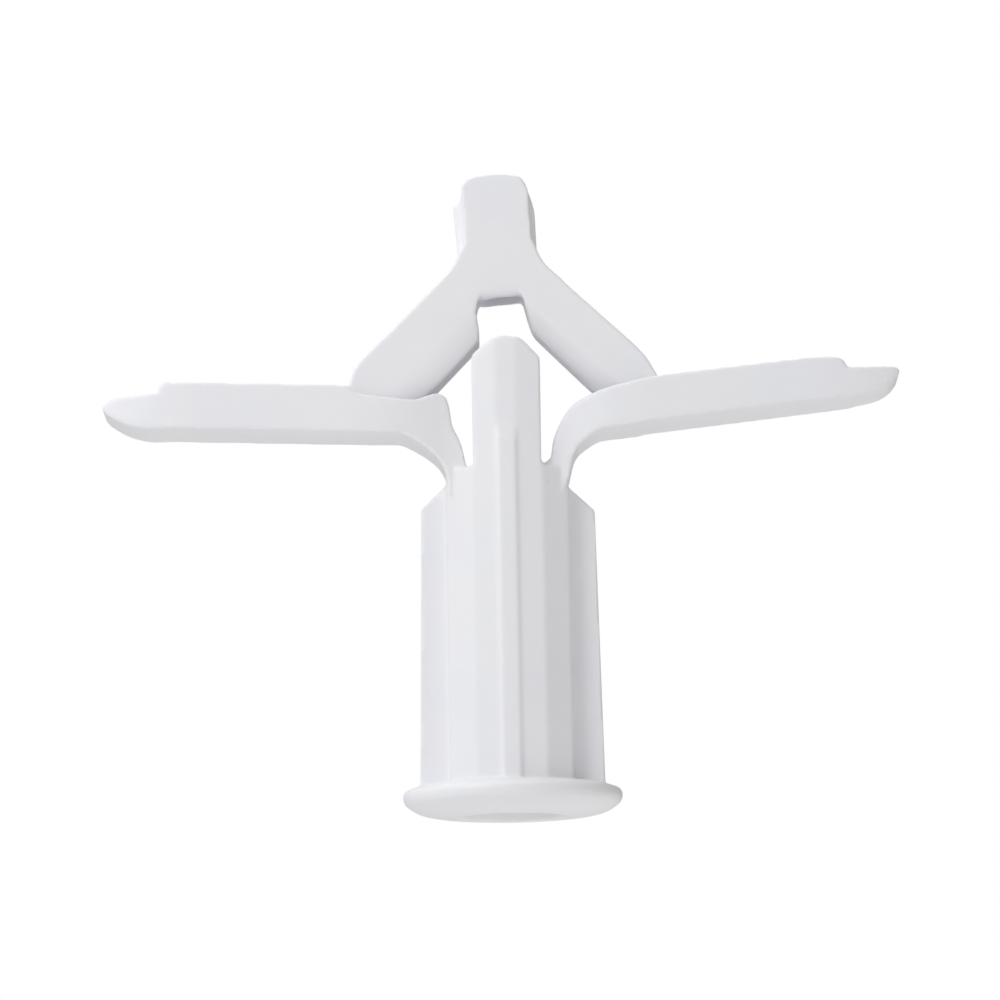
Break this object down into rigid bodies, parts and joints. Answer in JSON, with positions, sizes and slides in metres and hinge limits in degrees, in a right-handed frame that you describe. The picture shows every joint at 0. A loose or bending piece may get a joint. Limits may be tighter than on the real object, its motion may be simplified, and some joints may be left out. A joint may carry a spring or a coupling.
{
  "type": "hollow wall anchor",
  "caption": "Plastic hollow-wall anchor: a flanged finned sleeve with guide tongues and two channel-shaped wings that fold up on living hinges, tied by links to a pointed nose.",
  "frame": {"origin": "centre of the collar's back face, which bears on the wall round the drilled hole", "axes": "+Z along the drilled hole into the cavity, towards the nose; X along the spread wings, +X to the right in the picture; +Y away from the viewer"},
  "size_m": [0.0362, 0.01, 0.0292],
  "materials": {
    "polypropylene": "as-moulded natural polypropylene, slightly translucent milky white with a soft satin sheen"
  },
  "bodies": {
    "sleeve": {"collar": "polypropylene", "barrel": "polypropylene", "fin_left": "polypropylene", "fin_right": "polypropylene", "rib_front": "polypropylene", "rib_rear": "polypropylene", "tongue_front": "polypropylene", "tongue_rear": "polypropylene", "hinge_strap_left": "polypropylene", "hinge_strap_right": "polypropylene"},
    "left_wing": {"wing_left": "polypropylene", "wing_tip_left": "polypropylene", "foot_web_left": "polypropylene"},
    "right_wing": {"wing_right": "polypropylene", "wing_tip_right": "polypropylene", "foot_web_right": "polypropylene"},
    "left_link": {"link_left": "polypropylene", "neck_web_left": "polypropylene"},
    "right_link": {"link_right": "polypropylene", "neck_web_right": "polypropylene"},
    "nose_block": {"nose": "polypropylene", "nose_rib_left": "polypropylene", "nose_rib_right": "polypropylene"}
  },
  "joints": [
    {"name": "wings_fold", "type": "hinge", "parent": "sleeve", "child": "left_wing", "pos_m": [-0.0029, 0, 0.0162], "axis": [0, 1, 0], "range_deg": [-8, 85], "stiffness_Nm_per_rad": 0.0005, "deforming": ["hinge_strap_left"]},
    {"name": "right_wing_fold", "type": "hinge", "parent": "sleeve", "child": "right_wing", "pos_m": [0.0029, 0, 0.0162], "axis": [0, -1, 0], "range_deg": [-7.7, 80.9], "deforming": ["hinge_strap_right", "foot_web_right"]},
    {"name": "left_foot_hinge", "type": "hinge", "parent": "left_wing", "child": "left_link", "pos_m": [-0.00779, 0, 0.01667], "axis": [0, -1, 0], "range_deg": [-11.6, 122.1], "deforming": ["foot_web_left"]},
    {"name": "left_neck_hinge", "type": "hinge", "parent": "left_link", "child": "nose_block", "pos_m": [-0.00166, 0, 0.02264], "axis": [0, 1, 0], "range_deg": [-3.9, 40.1], "deforming": ["neck_web_left"]},
    {"name": "right_neck_hinge", "type": "hinge", "parent": "nose_block", "child": "right_link", "pos_m": [0.00143, 0, 0.0228], "axis": [0, 1, 0], "range_deg": [-3.5, 35.9], "deforming": ["neck_web_right"]}
  ],
  "couplings": [
    {"joint": "right_wing_fold", "follows": "wings_fold", "ratio": 0.95059},
    {"joint": "left_foot_hinge", "follows": "wings_fold", "ratio": 1.4347},
    {"joint": "left_neck_hinge", "follows": "wings_fold", "ratio": 0.46995},
    {"joint": "right_neck_hinge", "follows": "wings_fold", "ratio": 0.42044}
  ]
}
